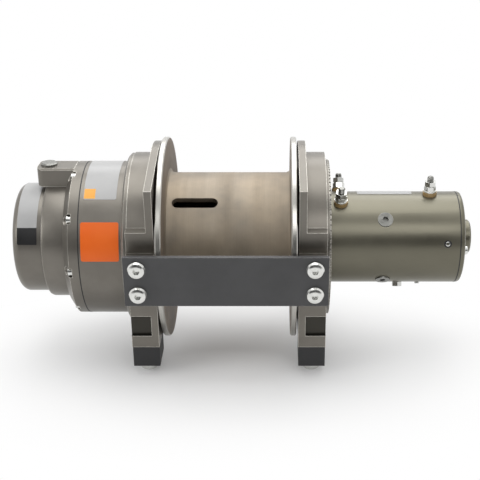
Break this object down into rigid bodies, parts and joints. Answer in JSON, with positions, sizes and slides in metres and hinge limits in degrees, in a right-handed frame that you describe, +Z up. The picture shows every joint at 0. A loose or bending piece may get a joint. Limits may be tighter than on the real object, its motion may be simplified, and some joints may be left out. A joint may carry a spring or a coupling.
{
  "type": "electric hoist",
  "caption": "Electric hoist: a series-wound motor drives a flanged rope drum through planetary gears in one in-line body, held by two footed supports and tie plates.",
  "frame": {"origin": "midway between the four feet, on the plane under their pads", "axes": "+X along the drum shaft towards the motor, +Z up, -Y towards the front tie plate"},
  "size_m": [0.5608, 0.2772, 0.264],
  "materials": {
    "gunmetal_casting": "satin grey-brown metallic paint on cast metal",
    "motor_paint": "smooth satin olive-grey metallic paint",
    "tie_plate_paint": "matt dark slate powder coat",
    "brushed_drum": "turned steel with fine circular marks, slightly brown",
    "turned_steel": "bright turned steel",
    "machined_steel": "machined steel with a film of oil",
    "zinc_plate": "bright zinc plate",
    "black_rubber": "matt moulded rubber",
    "bearing_bronze": "dull bearing bronze",
    "stud_insulator": "amber-brown moulded insulator",
    "carbon": "pressed carbon",
    "friction_lining": "pressed brake lining",
    "copper_winding": "lacquered copper wire",
    "core_steel": "stacked core laminations",
    "brush_ring_plastic": "brown moulded phenolic"
  },
  "bodies": {
    "frame": {"drum_bushings": "bearing_bronze", "drum_seals": "black_rubber", "gear_side_support": "gunmetal_casting", "motor_side_support": "gunmetal_casting", "front_tie_plate": "tie_plate_paint", "rear_tie_plate": "tie_plate_paint", "tie_plate_screws": "zinc_plate", "foot_pads": "black_rubber", "mounting_bolts": "zinc_plate", "gear_housing": "gunmetal_casting", "ring_gear": "machined_steel", "gear_cover": "gunmetal_casting", "cover_screws": "zinc_plate", "end_cap": "gunmetal_casting", "end_cap_screws": "zinc_plate", "filler_block": "gunmetal_casting", "filler_plug": "zinc_plate", "reaction_plate": "machined_steel", "brake_magnet": "copper_winding", "adapter_plate": "gunmetal_casting", "adapter_screws": "zinc_plate", "motor_can": "motor_paint", "motor_end_cap": "motor_paint", "shaft_bushings": "bearing_bronze", "pole_shoes": "core_steel", "field_coils": "copper_winding", "pole_screws": "zinc_plate", "brush_ring": "brush_ring_plastic", "brushes": "carbon", "terminal_studs": "zinc_plate", "terminal_insulators": "stud_insulator", "terminal_nuts": "zinc_plate"},
    "drum": {"drum_barrel": "brushed_drum", "gear_side_flange": "turned_steel", "motor_side_flange": "turned_steel", "output_carrier": "machined_steel", "output_planet_pins": "machined_steel"},
    "second_stage": {"second_carrier": "machined_steel", "second_planet_pins": "machined_steel", "output_sun_gear": "machined_steel"},
    "first_stage": {"first_carrier": "machined_steel", "first_planet_pins": "machined_steel", "second_sun_gear": "machined_steel"},
    "rotor": {"drive_shaft": "machined_steel", "input_sun_gear": "machined_steel", "friction_disc": "friction_lining", "motor_coupling": "machined_steel", "motor_shaft": "machined_steel", "armature_core": "core_steel", "commutator": "copper_winding"},
    "pressure_plate": {"pressure_plate": "machined_steel"},
    "output_planet_a": {"output_planet_a": "machined_steel"},
    "output_planet_b": {"output_planet_b": "machined_steel"},
    "output_planet_c": {"output_planet_c": "machined_steel"},
    "second_planet_a": {"second_planet_a": "machined_steel"},
    "second_planet_b": {"second_planet_b": "machined_steel"},
    "second_planet_c": {"second_planet_c": "machined_steel"},
    "first_planet_a": {"first_planet_a": "machined_steel"},
    "first_planet_b": {"first_planet_b": "machined_steel"},
    "first_planet_c": {"first_planet_c": "machined_steel"}
  },
  "joints": [
    {"name": "drum_spin", "type": "hinge", "parent": "frame", "child": "drum", "pos_m": [0, 0, 0.126], "axis": [1, 0, 0], "continuous": true},
    {"name": "second_stage_spin", "type": "hinge", "parent": "frame", "child": "second_stage", "pos_m": [0, 0, 0.126], "axis": [1, 0, 0], "continuous": true},
    {"name": "first_stage_spin", "type": "hinge", "parent": "frame", "child": "first_stage", "pos_m": [0, 0, 0.126], "axis": [1, 0, 0], "continuous": true},
    {"name": "rotor_spin", "type": "hinge", "parent": "frame", "child": "rotor", "pos_m": [0, 0, 0.126], "axis": [1, 0, 0], "continuous": true},
    {"name": "output_planet_a_spin", "type": "hinge", "parent": "drum", "child": "output_planet_a", "pos_m": [0, 0, 0.1692], "axis": [1, 0, 0], "continuous": true},
    {"name": "output_planet_b_spin", "type": "hinge", "parent": "drum", "child": "output_planet_b", "pos_m": [0, -0.03741, 0.1044], "axis": [1, 0, 0], "continuous": true},
    {"name": "output_planet_c_spin", "type": "hinge", "parent": "drum", "child": "output_planet_c", "pos_m": [0, 0.03741, 0.1044], "axis": [1, 0, 0], "continuous": true},
    {"name": "second_planet_a_spin", "type": "hinge", "parent": "second_stage", "child": "second_planet_a", "pos_m": [0, 0, 0.1692], "axis": [1, 0, 0], "continuous": true},
    {"name": "second_planet_b_spin", "type": "hinge", "parent": "second_stage", "child": "second_planet_b", "pos_m": [0, -0.03741, 0.1044], "axis": [1, 0, 0], "continuous": true},
    {"name": "second_planet_c_spin", "type": "hinge", "parent": "second_stage", "child": "second_planet_c", "pos_m": [0, 0.03741, 0.1044], "axis": [1, 0, 0], "continuous": true},
    {"name": "first_planet_a_spin", "type": "hinge", "parent": "first_stage", "child": "first_planet_a", "pos_m": [0, 0, 0.1692], "axis": [1, 0, 0], "continuous": true},
    {"name": "first_planet_b_spin", "type": "hinge", "parent": "first_stage", "child": "first_planet_b", "pos_m": [0, -0.03741, 0.1044], "axis": [1, 0, 0], "continuous": true},
    {"name": "first_planet_c_spin", "type": "hinge", "parent": "first_stage", "child": "first_planet_c", "pos_m": [0, 0.03741, 0.1044], "axis": [1, 0, 0], "continuous": true},
    {"name": "brake_release", "type": "slide", "parent": "frame", "child": "pressure_plate", "axis": [-1, 0, 0], "range_m": [0, 0.0005]}
  ],
  "couplings": [
    {"joint": "second_stage_spin", "follows": "drum_spin", "ratio": 6},
    {"joint": "first_stage_spin", "follows": "drum_spin", "ratio": 36},
    {"joint": "rotor_spin", "follows": "drum_spin", "ratio": 216},
    {"joint": "output_planet_a_spin", "follows": "drum_spin", "ratio": -2.5},
    {"joint": "output_planet_b_spin", "follows": "drum_spin", "ratio": -2.5},
    {"joint": "output_planet_c_spin", "follows": "drum_spin", "ratio": -2.5},
    {"joint": "second_planet_a_spin", "follows": "drum_spin", "ratio": -15},
    {"joint": "second_planet_b_spin", "follows": "drum_spin", "ratio": -15},
    {"joint": "second_planet_c_spin", "follows": "drum_spin", "ratio": -15},
    {"joint": "first_planet_a_spin", "follows": "drum_spin", "ratio": -90},
    {"joint": "first_planet_b_spin", "follows": "drum_spin", "ratio": -90},
    {"joint": "first_planet_c_spin", "follows": "drum_spin", "ratio": -90}
  ]
}
